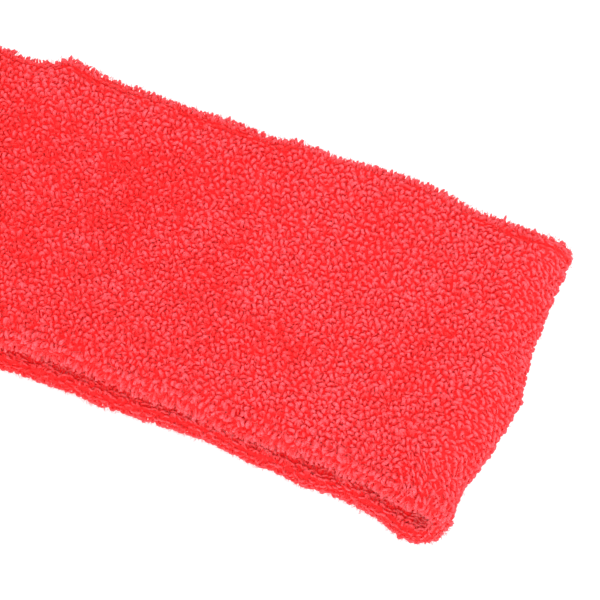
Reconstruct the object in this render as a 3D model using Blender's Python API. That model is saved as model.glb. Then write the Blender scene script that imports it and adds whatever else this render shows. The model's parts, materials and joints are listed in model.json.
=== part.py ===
"""Terry sports headband: an endless loop of doubled terry cloth that lies flattened on its back panel.

X runs along the flattened loop, Y across the cloth from the folded rim (-Y) to the seamed rim (+Y), and Z up.
The origin is the middle of the flat face that the band rests on. All sizes are in metres.
"""
import math

import bmesh
import bpy
from mathutils import Vector

# Driving dimensions
BAND_LENGTH = 0.185             # along X, over both end folds of the flattened loop
BAND_WIDTH = 0.055              # along Y, from rim to rim
TERRY_THICKNESS = 0.0018        # one ply of cloth with its pile
LOOP_GAP = 0.0046               # between the two panels, where the head goes
ELASTIC_DIAMETER = 0.0006       # one covered elastic thread
ELASTIC_COUNT = 12              # threads laid side by side across the width
SEAM_THREAD_DIAMETER = 0.0006   # the overlock chain that closes the rim
THREAD_CLEARANCE = 0.0003       # between a thread and the ply beside it
PLY_CLEARANCE = 0.0003          # between the plies' edges where they meet

# Sizes that follow from them
PLY_SPACE = max(ELASTIC_DIAMETER, SEAM_THREAD_DIAMETER) + 2 * THREAD_CLEARANCE
PANEL_THICKNESS = 2 * TERRY_THICKNESS + PLY_SPACE
RIM_RADIUS = PANEL_THICKNESS / 2
BAND_HEIGHT = LOOP_GAP + 2 * PANEL_THICKNESS
FOLD_CENTRE_X = (BAND_LENGTH - BAND_HEIGHT) / 2
LOOP_CENTRE_Z = BAND_HEIGHT / 2
CURL_RADIUS = RIM_RADIUS - PLY_CLEARANCE / 2    # outside of the seamed rim, half of it on each ply
FOLDED_RIM_Y = -BAND_WIDTH / 2 + RIM_RADIUS     # centre of the folded rim's rounding
SEAMED_RIM_Y = BAND_WIDTH / 2 - CURL_RADIUS     # centre of the seamed rim's rounding
SEAM_THREAD_Y = BAND_WIDTH / 2 - RIM_RADIUS

# How finely round shapes are divided
FOLD_STEPS = 12                 # round each end fold of the loop
RUN_STEPS = 6                   # along each straight panel
RIM_STEPS = 8                   # round the half circle of a rim
THREAD_SIDES = 6
MERGE_DISTANCE = 0.000001
SHARP_ANGLE = math.radians(40)

# Name, colour, roughness and metallic value of each yarn
TERRY_FINISH = ("coral_terry", (0.92, 0.05, 0.06), 0.95, 0.0)
SEAM_FINISH = ("seam_yarn", (0.80, 0.04, 0.05), 0.80, 0.0)
ELASTIC_FINISH = ("covered_elastic", (0.86, 0.36, 0.36), 0.70, 0.0)


def clear_scene():
    """Remove every object that the scene opened with."""
    for scene_object in list(bpy.data.objects):
        bpy.data.objects.remove(scene_object, do_unlink=True)


def make_material(finish):
    """Return a plain material with the finish's name, colour, roughness and metallic value."""
    name, colour, roughness, metallic = finish
    material = bpy.data.materials.new(name)
    material.use_nodes = True
    shader = material.node_tree.nodes["Principled BSDF"]
    shader.inputs["Base Color"].default_value = (*colour, 1.0)
    shader.inputs["Roughness"].default_value = roughness
    shader.inputs["Metallic"].default_value = metallic
    return material


def arc(centre, radius, start, end, steps):
    """Return the points of an arc in the cloth's cross-section, both ends included.

    A cross-section point is (y, depth). Depth counts from the face against the head, 0, to the outside of the
    band, PANEL_THICKNESS. Angles are in degrees, from +Y towards the outside.
    """
    centre_y, centre_depth = centre
    points = []
    for step in range(steps + 1):
        angle = math.radians(start + (end - start) * step / steps)
        points.append((centre_y + radius * math.cos(angle), centre_depth + radius * math.sin(angle)))
    return points


def outer_ply_outline():
    """Return the outer ply's outline: all round the folded rim, along the panel, half round the seamed rim."""
    fold = (FOLDED_RIM_Y, RIM_RADIUS)
    curl = (SEAMED_RIM_Y, RIM_RADIUS + PLY_CLEARANCE / 2)
    outside = arc(fold, RIM_RADIUS, 270, 90, RIM_STEPS)
    outside += arc(curl, CURL_RADIUS, 90, 0, RIM_STEPS // 2)
    inside = arc(curl, CURL_RADIUS - TERRY_THICKNESS, 0, 90, RIM_STEPS // 2)
    inside += arc(fold, RIM_RADIUS - TERRY_THICKNESS, 90, 270, RIM_STEPS)
    return outside + inside


def inner_ply_outline():
    """Return the inner ply's outline: from the folded rim to the seamed rim, where it curls to the outer ply."""
    edge_y = FOLDED_RIM_Y + PLY_CLEARANCE
    curl = (SEAMED_RIM_Y, CURL_RADIUS)
    face = arc(curl, CURL_RADIUS, -90, 0, RIM_STEPS // 2)
    back = arc(curl, CURL_RADIUS - TERRY_THICKNESS, 0, -90, RIM_STEPS // 2)
    return [(edge_y, 0.0), *face, *back, (edge_y, TERRY_THICKNESS)]


def thread_outline(centre_y, diameter):
    """Return the round outline of a thread in the middle of the space between the plies."""
    turn = arc((centre_y, RIM_RADIUS), diameter / 2, 0, 360, THREAD_SIDES)
    return turn[:-1]


def only(kind, geometry):
    """Return the parts of a bmesh operator's result that are of one kind."""
    return [part for part in geometry if isinstance(part, kind)]


def turn_round_fold(mesh, edges, centre_x):
    """Spin the section's edges half a turn round an end fold and return the edges where the turn ends."""
    verts = list({vert for edge in edges for vert in edge.verts})
    spun = bmesh.ops.spin(
        mesh,
        geom=edges + verts,
        cent=Vector((centre_x, 0.0, LOOP_CENTRE_Z)),
        axis=Vector((0.0, -1.0, 0.0)),
        angle=math.pi,
        steps=FOLD_STEPS,
    )
    return only(bmesh.types.BMEdge, spun["geom_last"])


def run_along_panel(mesh, edges, travel_x):
    """Extrude the section's edges along a straight panel and return the edges where it ends."""
    for _ in range(RUN_STEPS):
        extruded = bmesh.ops.extrude_edge_only(mesh, edges=edges)["geom"]
        edges = only(bmesh.types.BMEdge, extruded)
        verts = only(bmesh.types.BMVert, extruded)
        bmesh.ops.translate(mesh, vec=Vector((travel_x / RUN_STEPS, 0.0, 0.0)), verts=verts)
    return edges


def make_loop(name, outline, material, parent):
    """Carry a closed cross-section outline once round the flattened loop and return it as one closed object."""
    mesh = bmesh.new()
    start = []
    for y, depth in outline:
        start.append(mesh.verts.new((FOLD_CENTRE_X, y, LOOP_CENTRE_Z - LOOP_GAP / 2 - depth)))
    edges = [mesh.edges.new(pair) for pair in zip(start, start[1:] + start[:1])]

    edges = turn_round_fold(mesh, edges, FOLD_CENTRE_X)
    edges = run_along_panel(mesh, edges, -2 * FOLD_CENTRE_X)
    edges = turn_round_fold(mesh, edges, -FOLD_CENTRE_X)
    run_along_panel(mesh, edges, 2 * FOLD_CENTRE_X)

    bmesh.ops.remove_doubles(mesh, verts=mesh.verts, dist=MERGE_DISTANCE)
    bmesh.ops.recalc_face_normals(mesh, faces=mesh.faces)
    data = bpy.data.meshes.new(name)
    mesh.to_mesh(data)
    mesh.free()
    data.shade_smooth()
    data.set_sharp_from_angle(angle=SHARP_ANGLE)
    data.materials.append(material)

    loop = bpy.data.objects.new(name, data)
    loop.parent = parent
    bpy.context.collection.objects.link(loop)
    return loop


def make_elastic_threads(parent):
    """Lay the elastic threads side by side, evenly between the folded rim and the seam thread."""
    material = make_material(ELASTIC_FINISH)
    pitch = (SEAM_THREAD_Y - FOLDED_RIM_Y) / ELASTIC_COUNT
    for index in range(ELASTIC_COUNT):
        outline = thread_outline(FOLDED_RIM_Y + pitch * index, ELASTIC_DIAMETER)
        make_loop(f"elastic_thread_{index + 1:02d}", outline, material, parent)


def make_headband():
    """Make the two plies, the seam thread and the elastic threads, all under one empty at the origin."""
    headband = bpy.data.objects.new("headband", None)
    bpy.context.collection.objects.link(headband)
    terry = make_material(TERRY_FINISH)
    make_loop("outer_terry_wall", outer_ply_outline(), terry, headband)
    make_loop("inner_terry_wall", inner_ply_outline(), terry, headband)
    seam = thread_outline(SEAM_THREAD_Y, SEAM_THREAD_DIAMETER)
    make_loop("rim_seam_thread", seam, make_material(SEAM_FINISH), headband)
    make_elastic_threads(headband)


clear_scene()
make_headband()
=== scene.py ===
"""Terry sports headband: the looks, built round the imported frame.

The band is an endless loop of doubled terry cloth that lies flattened on its back panel. Two plies of ground
cloth carry a pile of looped cotton yarn on both faces, an overlock chain closes one rim from inside, and covered
elastic threads run round the loop between the plies. All lengths are in metres.
"""
from __future__ import annotations

import json
import logging
import math
from dataclasses import dataclass, fields
from enum import Enum
from typing import Any, Optional, Sequence, Union

import bpy
import numpy as np
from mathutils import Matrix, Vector

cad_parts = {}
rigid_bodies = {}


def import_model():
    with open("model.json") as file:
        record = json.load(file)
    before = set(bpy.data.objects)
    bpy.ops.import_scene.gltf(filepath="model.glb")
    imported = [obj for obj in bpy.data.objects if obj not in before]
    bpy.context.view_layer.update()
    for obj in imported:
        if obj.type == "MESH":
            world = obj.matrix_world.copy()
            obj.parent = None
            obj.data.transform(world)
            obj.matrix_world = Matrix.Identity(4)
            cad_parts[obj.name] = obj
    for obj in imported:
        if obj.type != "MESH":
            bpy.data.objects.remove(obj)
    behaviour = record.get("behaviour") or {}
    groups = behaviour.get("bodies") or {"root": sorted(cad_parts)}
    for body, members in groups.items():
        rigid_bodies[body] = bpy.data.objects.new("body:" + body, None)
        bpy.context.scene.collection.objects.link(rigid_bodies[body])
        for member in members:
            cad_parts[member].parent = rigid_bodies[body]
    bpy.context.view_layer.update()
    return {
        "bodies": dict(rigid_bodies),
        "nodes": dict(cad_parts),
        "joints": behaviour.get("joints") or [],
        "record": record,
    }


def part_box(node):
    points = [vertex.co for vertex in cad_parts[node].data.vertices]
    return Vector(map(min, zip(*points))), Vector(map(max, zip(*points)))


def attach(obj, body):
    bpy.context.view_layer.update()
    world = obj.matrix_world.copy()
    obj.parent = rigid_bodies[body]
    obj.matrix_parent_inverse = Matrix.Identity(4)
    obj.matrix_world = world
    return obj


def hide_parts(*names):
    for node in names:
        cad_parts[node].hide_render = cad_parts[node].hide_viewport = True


log = logging.getLogger("headband")

MM = 0.001
BODY = "root"
CORNER_X = (79 * MM, 84 * MM)         # where the creased corner starts and where it is full
FLOOR_GAP = 0.05 * MM                # the lowest that yarn comes to the table
Colour = tuple[float, float, float]
Array = np.ndarray


class Slot(Enum):
    """The record's material slots."""

    OUTER_TERRY = "outer_terry"
    INNER_TERRY = "inner_terry"
    SEAM_THREAD = "seam_thread"
    COVERED_ELASTIC = "covered_elastic"


class Detail(Enum):
    """How finely a pile loop is divided: segments along the yarn, and sides round it."""

    FINE = (5, 6)
    MEDIUM = (5, 4)
    COARSE = (3, 4)


# ---------------------------------------------------------------------------------------------- small helpers


def deselect_all() -> None:
    """Leave nothing selected, so that an operator acts only on what is picked next."""
    for scene_object in bpy.context.view_layer.objects:
        scene_object.select_set(False)


def pick(piece: bpy.types.Object) -> None:
    """Select one object alone and make it active."""
    deselect_all()
    piece.select_set(True)
    bpy.context.view_layer.objects.active = piece


def smooth_step(low: float, high: float, value: Array) -> Array:
    """Return 0 below low, 1 above high and a soft ramp between them."""
    t = np.clip((value - low) / (high - low), 0.0, 1.0)
    return t * t * (3.0 - 2.0 * t)


def swell(value: Array, centre: float, reach: float) -> Array:
    """Return a soft bump that is 1 at centre and fades over reach."""
    return np.exp(-(((value - centre) / reach) ** 2))


def ripple(a: Array, b: Array, wavelength: float, seed: int, waves: int = 7) -> Array:
    """Return smooth noise of about -1 to 1 on two coordinates.

    Args:
        a: First coordinate, in metres.
        b: Second coordinate, in metres.
        wavelength: The mean distance from crest to crest.
        seed: Which of the repeatable patterns to use.
        waves: How many plane waves are added up.

    Returns:
        The noise, in the shape of the coordinates.
    """
    rng = np.random.default_rng(seed)
    total = np.zeros(np.broadcast(a, b).shape)
    for _ in range(waves):
        turn, phase, stretch = rng.uniform(0, 2 * math.pi), rng.uniform(0, 2 * math.pi), rng.uniform(0.7, 1.5)
        k = 2 * math.pi / (wavelength * stretch)
        total += np.sin(k * (a * math.cos(turn) + b * math.sin(turn)) + phase)
    return total / math.sqrt(waves)


def unit(vectors: Array) -> Array:
    """Return the vectors at length 1."""
    return vectors / np.maximum(np.linalg.norm(vectors, axis=-1, keepdims=True), 1e-12)


def turned(first: Array, second: Array, angle: Array) -> Array:
    """Return the directions at an angle from the first directions towards the second."""
    return np.cos(angle)[:, None] * first + np.sin(angle)[:, None] * second


def squared_to(vectors: Array, up: Array) -> Array:
    """Return the vectors at length 1, without their share along up."""
    return unit(vectors - up * np.sum(vectors * up, axis=1, keepdims=True))


def facing_front(angle: Array) -> Array:
    """Return 1 on the front panel and 0 on the back one, from how far the outside has turned from facing down."""
    return (1 - np.cos(angle)) / 2


def stepped(marks: Sequence[float], steps: Sequence[int]) -> Array:
    """Return even steps from each mark to the next, without the last mark itself."""
    runs = [np.linspace(a, b, n, endpoint=False) for a, b, n in zip(marks, marks[1:], steps)]
    return np.concatenate(runs)


def copied_faces(faces: Array, copies: int, each: int, start: int = 0) -> Array:
    """Return one mesh's faces for all its copies, whose points are counted on from start."""
    return (faces[None] + (start + np.arange(copies) * each)[:, None, None]).reshape(-1, faces.shape[1])


def mesh_object(name: str, points: Array, faces: Array) -> bpy.types.Object:
    """Return a new smooth object from arrays of points and of faces that all have the same number of corners.

    Args:
        name: The piece's name.
        points: One row of x, y, z for each point.
        faces: One row of point indices for each face.

    Returns:
        The object, at the origin, linked to the scene.
    """
    count, corners = faces.shape
    mesh = bpy.data.meshes.new(name)
    mesh.vertices.add(len(points))
    mesh.vertices.foreach_set("co", points.astype(np.float32).ravel())
    mesh.loops.add(count * corners)
    mesh.loops.foreach_set("vertex_index", faces.astype(np.int32).ravel())
    mesh.polygons.add(count)
    mesh.polygons.foreach_set("loop_start", np.arange(0, count * corners, corners, dtype=np.int32))
    mesh.polygons.foreach_set("use_smooth", np.full(count, True))
    mesh.update(calc_edges=True)
    piece = bpy.data.objects.new(name, mesh)
    bpy.context.scene.collection.objects.link(piece)
    return piece


def point_value(piece: bpy.types.Object, name: str, values: Array) -> None:
    """Store one number for each point of a piece, for its material to read."""
    attribute = piece.data.attributes.new(name, "FLOAT", "POINT")
    attribute.data.foreach_set("value", values.astype(np.float32).ravel())


def corner_map(piece: bpy.types.Object, name: str, places: Array) -> None:
    """Store a UV map that gives each face corner its place on a flat map."""
    layer = piece.data.uv_layers.new(name=name)
    layer.uv.foreach_set("vector", places.astype(np.float32).ravel())


# ---------------------------------------------------------------------------------------------- shader values


class Signal:
    """A shader value. Python's operators add the Math nodes that work it out."""

    def __init__(self, bench: "ShaderBench", socket: bpy.types.NodeSocket) -> None:
        """Wrap an output socket of a node on a bench."""
        self.bench = bench
        self.socket = socket

    def _math(self, operation: str, other: Any) -> "Signal":
        """Return the result of one Math node on this value and another."""
        return self.bench.node("ShaderNodeMath", {"operation": operation}, {0: self, 1: other})

    def __add__(self, other: Any) -> "Signal":
        """Add."""
        return self._math("ADD", other)

    def __mul__(self, other: Any) -> "Signal":
        """Multiply."""
        return self._math("MULTIPLY", other)

    def __sub__(self, other: Any) -> "Signal":
        """Subtract."""
        return self._math("SUBTRACT", other)

    def held(self) -> "Signal":
        """Return the value held between 0 and 1."""
        return self.bench.node("ShaderNodeClamp", {}, {"Value": self})

    def wave(self) -> "Signal":
        """Return the sine of the value."""
        return self.bench.node("ShaderNodeMath", {"operation": "SINE"}, {0: self})


class ShaderBench:
    """Builds one material's nodes."""

    def __init__(self, name: str) -> None:
        """Start a material with a Principled shader."""
        self.material = bpy.data.materials.new(name)
        self.material.use_nodes = True
        self.tree = self.material.node_tree
        self.shader = self.tree.nodes["Principled BSDF"]

    def node(self, kind: str, settings: dict[str, Any], inputs: dict[Any, Any], output: Union[int, str] = 0) -> Signal:
        """Add a node.

        Args:
            kind: The node's type name.
            settings: Values of the node's own properties.
            inputs: Values or signals of its sockets, by name or number.
            output: Which output to return.

        Returns:
            The chosen output as a signal.
        """
        node = self.tree.nodes.new(kind)
        for key, value in settings.items():
            setattr(node, key, value)
        for key, value in inputs.items():
            self.feed(node.inputs[key], value)
        return Signal(self, node.outputs[output])

    def feed(self, socket: bpy.types.NodeSocket, value: Any) -> None:
        """Link a signal to a socket, or set the socket's own value."""
        if isinstance(value, Signal):
            self.tree.links.new(value.socket, socket)
        elif isinstance(value, tuple) and len(value) == 3 and socket.type == "RGBA":
            socket.default_value = (*value, 1.0)
        else:
            socket.default_value = value

    def attribute(self, name: str) -> Signal:
        """Return a number stored on the piece's points."""
        return self.node("ShaderNodeAttribute", {"attribute_name": name}, {}, "Fac")

    def object_place(self) -> Signal:
        """Return the place on the piece in metres."""
        return self.node("ShaderNodeTexCoord", {}, {}, "Object")

    def flat_place(self, name: str) -> tuple[Signal, Signal]:
        """Return the two numbers of the place on one of the piece's own flat maps."""
        parts = {"Vector": self.node("ShaderNodeUVMap", {"uv_map": name}, {})}
        first, second = [self.node("ShaderNodeSeparateXYZ", {}, parts, axis) for axis in "XY"]
        return first, second

    def noise(self, place: Signal, scale: float, detail: float = 2.0, roughness: float = 0.5) -> Signal:
        """Return noise from 0 to 1 at so many features a metre."""
        inputs = {"Vector": place, "Scale": scale, "Detail": detail, "Roughness": roughness}
        return self.node("ShaderNodeTexNoise", {}, inputs)

    def mix(self, share: Any, first: Any, second: Any) -> Signal:
        """Return a blend of two colours."""
        return self.node("ShaderNodeMix", {"data_type": "RGBA"}, {0: share, 6: first, 7: second}, 2)

    def bump(self, height: Signal, strength: float, distance: float) -> Signal:
        """Return the normal that a height gives."""
        return self.node("ShaderNodeBump", {}, {"Strength": strength, "Distance": distance, "Height": height})

    def finish(self, values: dict[str, Any]) -> bpy.types.Material:
        """Set the shader's sockets and return the material."""
        for key, value in values.items():
            self.feed(self.shader.inputs[key], value)
        return self.material


# ---------------------------------------------------------------------------------------------- finishes


@dataclass(frozen=True)
class PileFinish:
    """Cotton yarn of the pile: deep red at the root, paler and softer at the tip, the paleness a painted highlight."""

    name: str
    # deep and body are the yarn's reds for each loop's tone; pale is the painted highlight colour of crowns and rims
    deep: Colour = (0.99, 0.032, 0.034)
    body: Colour = (0.995, 0.073, 0.086)
    pale: Colour = (0.995, 0.106, 0.130)
    roughness: float = 0.92
    sheen: float = 0.55
    sheen_tint: Colour = (1.0, 0.10, 0.11)
    ply_twist: float = 42.0
    glow_through: float = 0.45           # share of the light that passes through the yarn
    fibre_scale: float = 7000.0
    patch_scales: tuple[float, float] = (75.0, 260.0)
    patch_shares: tuple[float, float] = (0.55, 0.45)
    patch_contrast: float = 2.8          # how far patches darken the yarn's body
    crown_patch_contrast: float = 1.6    # how far they darken the loops' crowns
    tint_contrast: float = 0.9
    fibre_contrast: float = 0.3
    crown_start: float = 0.40            # share of a loop's height where the painted highlight on its crown begins
    bump_depth: float = 0.06 * MM

    def material(self) -> bpy.types.Material:
        """Return the material of a pile piece."""
        bench = ShaderBench(self.name)
        # tint: each loop's random tone, with painted light and shade added where the pile is combed
        tint, reach = bench.attribute("tint"), bench.attribute("reach")
        place = bench.object_place()
        shares = zip(self.patch_scales, self.patch_shares)
        wide, close = [bench.noise(place, scale, 2.0) * share for scale, share in shares]
        patches = wide + close - 0.5
        across, around = bench.flat_place("yarn")
        fibres = bench.noise(place, self.fibre_scale, 2.0, 0.7)
        twist = (across * self.ply_twist + around * (2 * math.pi)).wave()
        speckle = (fibres - 0.5) * self.fibre_contrast
        shade = (tint * self.tint_contrast + patches * self.patch_contrast + speckle).held()
        base = bench.mix(shade, self.deep, self.body)
        # painted highlight: points are mixed towards pale from this share of a loop's height up to its tip
        crown = bench.node("ShaderNodeMapRange", {"interpolation_type": "SMOOTHSTEP"},
                           {"Value": reach, "From Min": self.crown_start, "From Max": 1.0})
        lift = (crown * (tint + patches * self.crown_patch_contrast + 0.10) + speckle).held()
        colour = bench.mix(lift, base, self.pale)
        height = twist * 0.5 + fibres
        values = {
            "Base Color": colour,
            "Roughness": self.roughness,
            "Specular IOR Level": 0.18,
            "Sheen Weight": self.sheen,
            "Sheen Roughness": 0.45,
            "Sheen Tint": self.sheen_tint,
            "Subsurface Weight": self.glow_through,
            "Subsurface Radius": (1.0, 0.08, 0.08),
            "Subsurface Scale": 0.5 * MM,
            "Normal": bench.bump(height, 0.55, self.bump_depth),
        }
        return bench.finish(values)


@dataclass(frozen=True)
class FuzzFinish:
    """Single cotton fibres, paler than the yarn because they catch the light."""

    name: str
    deep: Colour = (0.95, 0.060, 0.068)
    pale: Colour = (0.98, 0.22, 0.24)

    def material(self) -> bpy.types.Material:
        """Return the material of a fuzz piece."""
        bench = ShaderBench(self.name)
        fibres = bench.noise(bench.object_place(), 3000.0, 2.0)
        shade = (bench.attribute("tint") * 0.8 + fibres * 0.3).held()
        values = {
            "Base Color": bench.mix(shade, self.deep, self.pale),
            "Roughness": 0.9,
            "Sheen Weight": 0.2,
            "Sheen Tint": (1.0, 0.6, 0.6),
        }
        return bench.finish(values)


@dataclass(frozen=True)
class GroundFinish:
    """The knitted ground under the pile, with its rows of stitches, a deeper red than the yarn as painted shade, darker
    in stitch gaps.
    """

    name: str
    # a deeper red than the yarn's: painted shade for the ground seen between the loops
    deep: Colour = (0.95, 0.020, 0.023)
    body: Colour = (0.97, 0.034, 0.038)
    stitch_width: float = 1.05 * MM
    stitch_height: float = 0.80 * MM

    def material(self) -> bpy.types.Material:
        """Return the material of a ground ply."""
        bench = ShaderBench(self.name)
        along, across = bench.flat_place("cloth")
        wale = (along * (2 * math.pi / self.stitch_width)).wave()
        course = (across * (2 * math.pi / self.stitch_height) + wale * 1.3).wave()
        knit = (course * 0.25 + wale * 0.25 + 0.5).held()
        fibres = bench.noise(bench.object_place(), 5000.0, 3.0, 0.7)
        # painted shade: the colour is darker where the knit's bump is low, in the gaps between stitches
        shade = (knit * 0.6 + fibres * 0.5 - 0.05).held()
        values = {
            "Base Color": bench.mix(shade, self.deep, self.body),
            "Roughness": 0.95,
            "Specular IOR Level": 0.15,
            "Sheen Weight": 0.1,
            "Sheen Tint": (1.0, 0.5, 0.5),
            "Normal": bench.bump(knit + fibres * 0.5, 0.8, 0.25 * MM),
        }
        return bench.finish(values)


@dataclass(frozen=True)
class ThreadFinish:
    """Twisted or wrapped thread, with the turns of its yarn."""

    name: str
    deep: Colour
    body: Colour
    turns: float = 260.0
    roughness: float = 0.7
    sheen: float = 0.2

    def material(self) -> bpy.types.Material:
        """Return the material of a thread piece, wound round along its own map."""
        bench = ShaderBench(self.name)
        along, around = bench.flat_place("yarn")
        turns = (along * (2 * math.pi * self.turns) + around * (4 * math.pi)).wave() * 0.5 + 0.5
        fibres = bench.noise(bench.object_place(), 9000.0, 2.0, 0.6)
        values = {
            "Base Color": bench.mix((turns * 0.8 + fibres * 0.3).held(), self.deep, self.body),
            "Roughness": self.roughness,
            "Sheen Weight": self.sheen,
            "Normal": bench.bump(turns + fibres * 0.4, 0.8, 0.05 * MM),
        }
        return bench.finish(values)


@dataclass(frozen=True)
class FloorFinish:
    """Matt white top of a light table, faintly lit from below, with a faint grain."""

    name: str = "white_table"
    colour: Colour = (0.93, 0.93, 0.93)
    glow: float = 0.35

    def material(self) -> bpy.types.Material:
        """Return the floor's material."""
        bench = ShaderBench(self.name)
        grain = bench.noise(bench.object_place(), 40.0, 4.0)
        values = {
            "Base Color": bench.mix(grain, self.colour, tuple(0.985 * c for c in self.colour)),
            "Roughness": 0.8,
            "Emission Color": (1.0, 1.0, 1.0),
            "Emission Strength": self.glow,
        }
        return bench.finish(values)


# ---------------------------------------------------------------------------------------------- how the band lies


@dataclass(frozen=True)
class BandSizes:
    """The band's sizes, from the frame."""

    length: float
    width: float
    height: float
    panel: float
    ply_clearance: float = 0.3 * MM

    @classmethod
    def from_frame(cls) -> "BandSizes":
        """Read the sizes off the two walls' boxes.

        Returns:
            The sizes. The inner wall starts one rim radius and the clearance behind the folded rim.
        """
        low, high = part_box("outer_terry_wall")
        inner_low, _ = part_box("inner_terry_wall")
        rim_radius = inner_low.y - low.y - cls.ply_clearance
        return cls(high.x - low.x, high.y - low.y, high.z - low.z, 2 * rim_radius)

    @property
    def middle_z(self) -> float:
        """Height of the middle of the loop."""
        return self.height / 2

    @property
    def turn_radius(self) -> float:
        """Radius of a panel's middle layer round an end fold."""
        return (self.height - self.panel) / 2

    @property
    def fold_x(self) -> float:
        """Distance from the middle to the centre of an end fold."""
        return (self.length - self.height) / 2

    @property
    def round_length(self) -> float:
        """Length once round the loop, along a panel's middle layer."""
        return 4 * self.fold_x + 2 * math.pi * self.turn_radius


@dataclass(frozen=True)
class Bump:
    """A soft bump along a line on the cloth, in millimetres."""

    move: float
    centre: float
    reach: float

    def at(self, place: Array) -> Array:
        """Return the move at places along the line, in metres."""
        return self.move * MM * swell(place, self.centre * MM, self.reach * MM)


def bumps_at(bumps: Sequence[Bump], place: Array) -> Array:
    """Return the moves of several bumps added up."""
    return sum(bump.at(place) for bump in bumps)


@dataclass
class LyingBand:
    """Where each point of the slack cloth lies.

    A place in the cloth is (s, y, depth): s runs once round the loop from the middle of the back panel, y across
    it from the folded rim to the seamed rim, and depth from the panel's middle layer towards the outside. Bumps lie
    along the band, by x, except the end fold's, which go by the way from the seamed rim.
    """

    sizes: BandSizes
    sag: float = 1.5 * MM                # how far the front panel sinks between the end folds
    rim_lifts: tuple[Bump, ...] = (Bump(1.6, 25, 17), Bump(0.7, 86, 7), Bump(-0.6, 66, 13))  # its folded rim, up
    front_pulls: tuple[Bump, ...] = (Bump(1.3, 25, 17), Bump(1.45, 68, 14))  # its folded rim, inwards
    back_pulls: tuple[Bump, ...] = (Bump(-0.8, 62, 7), Bump(0.8, 47, 4))  # the back panel's folded rim, inwards
    seam_pulls: tuple[Bump, ...] = (Bump(1.2, -3.5, 4), Bump(1.5, 61, 12), Bump(0.8, 28, 5), Bump(0.7, 91, 3.4))
    seam_dent: float = 1.4 * MM          # how far the front panel's seamed rim is drawn in left of the middle
    relaxed: float = 0.28 * MM           # height of the slack cloth's own unevenness
    end_bulge: Bump = Bump(1.3, 31, 6)   # how far an end fold bellies out past its middle
    end_pinch: Bump = Bump(2.1, 49, 6.5)  # how far it is drawn in beside the folded rim
    corner_round: float = 0.5 * MM       # how far its corner is rounded off there
    corner_point: Bump = Bump(1.0, 0, 3.4)  # how far its seamed corner is drawn out
    corner_slip: Bump = Bump(3.2, 85, 6.5)  # how far the back panel's folded rim has slipped out there
    seam_flare: float = 0.6 * MM         # how far the plies' seamed edges spread
    seam_groove: float = 0.75 * MM       # depth of the groove that the seam pulls beside its rim
    groove_inset: float = 2.3 * MM       # from the seamed rim to the groove

    def station(self, s: Array) -> tuple[Array, Array, Array]:
        """Return x and z of the panel's middle layer and the angle that its outside has turned from facing down."""
        size = self.sizes
        s = np.mod(s, size.round_length)
        radius, fold_x = size.turn_radius, size.fold_x
        turn = math.pi * radius
        right, top, left, bottom = fold_x, fold_x + turn, 3 * fold_x + turn, 3 * fold_x + 2 * turn
        angle = np.clip((s - right) / radius, 0, math.pi) + np.clip((s - left) / radius, 0, math.pi)
        x = np.where(s < right, s, fold_x + radius * np.sin(angle))
        x = np.where(s > top, fold_x - (s - top), x)
        x = np.where(s > left, -fold_x + radius * np.sin(angle), x)
        x = np.where(s > bottom, -fold_x + (s - bottom), x)
        return x, size.middle_z - radius * np.cos(angle), angle

    def point(self, s: Array, y: Array, depth: Array) -> Array:
        """Return the place in space of places in the cloth."""
        x, z, angle = self.station(s)
        front = facing_front(angle)
        x = x + np.sin(angle) * depth
        z = z - np.cos(angle) * depth
        return np.stack(self._settle(x, y, z, front), axis=-1)

    def _settle(self, x: Array, y: Array, z: Array, front: Array) -> tuple[Array, Array, Array]:
        """Move places on the plain loop to where the slack cloth settles.

        Args:
            x: Along the band.
            y: Across it.
            z: Up.
            front: 1 on the front panel, 0 on the back panel, between them round the end folds.

        Returns:
            The settled x, y and z.
        """
        half = self.sizes.width / 2
        folded = smooth_step(0.1 * half, half, -y)
        seamed = smooth_step(0.1 * half, half, y)
        along = np.clip(np.abs(x) / self.sizes.fold_x, 0, 1)

        lift = -self.sag * (1 - along**4) * (1 - 0.7 * seamed)
        lift = lift + folded * bumps_at(self.rim_lifts, x)
        lift = lift + self.relaxed * ripple(x, y, 34 * MM, 11) * (1 - along**6)
        z = z + front * lift

        pull = front * folded * bumps_at(self.front_pulls, x)
        pull = pull - (1 - 0.6 * front) * folded * self.corner_slip.at(x)
        pull = pull + (1 - front) * folded * bumps_at(self.back_pulls, x)
        dent = smooth_step(5.5 * MM, 9 * MM, -x) * smooth_step(-34 * MM, -20 * MM, x)
        pull = pull + seamed * (bumps_at(self.seam_pulls, x) - front * self.seam_dent * dent)
        wander = 0.32 * MM * ripple(x, 40 * MM * front, 26 * MM, 5) + 0.16 * MM * ripple(x, 20 * MM * front, 7 * MM, 6)
        y = y + pull + seamed * self.seam_flare + (folded + seamed) * wander

        from_seam = half - y
        bulge = self.end_bulge.move * MM
        inset = bulge - self.end_bulge.at(from_seam) + self.end_pinch.at(from_seam)
        inset = inset + self.corner_round * swell(from_seam, 2 * half, 4 * MM) - self.corner_point.at(from_seam)
        inset = np.where(x > 0, inset, bulge * (2 * from_seam / self.sizes.width - 0.9) ** 2)
        x = x - np.sign(x) * inset * smooth_step(0.62, 1.0, np.abs(x) / (self.sizes.length / 2))
        return x, y, z


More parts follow.
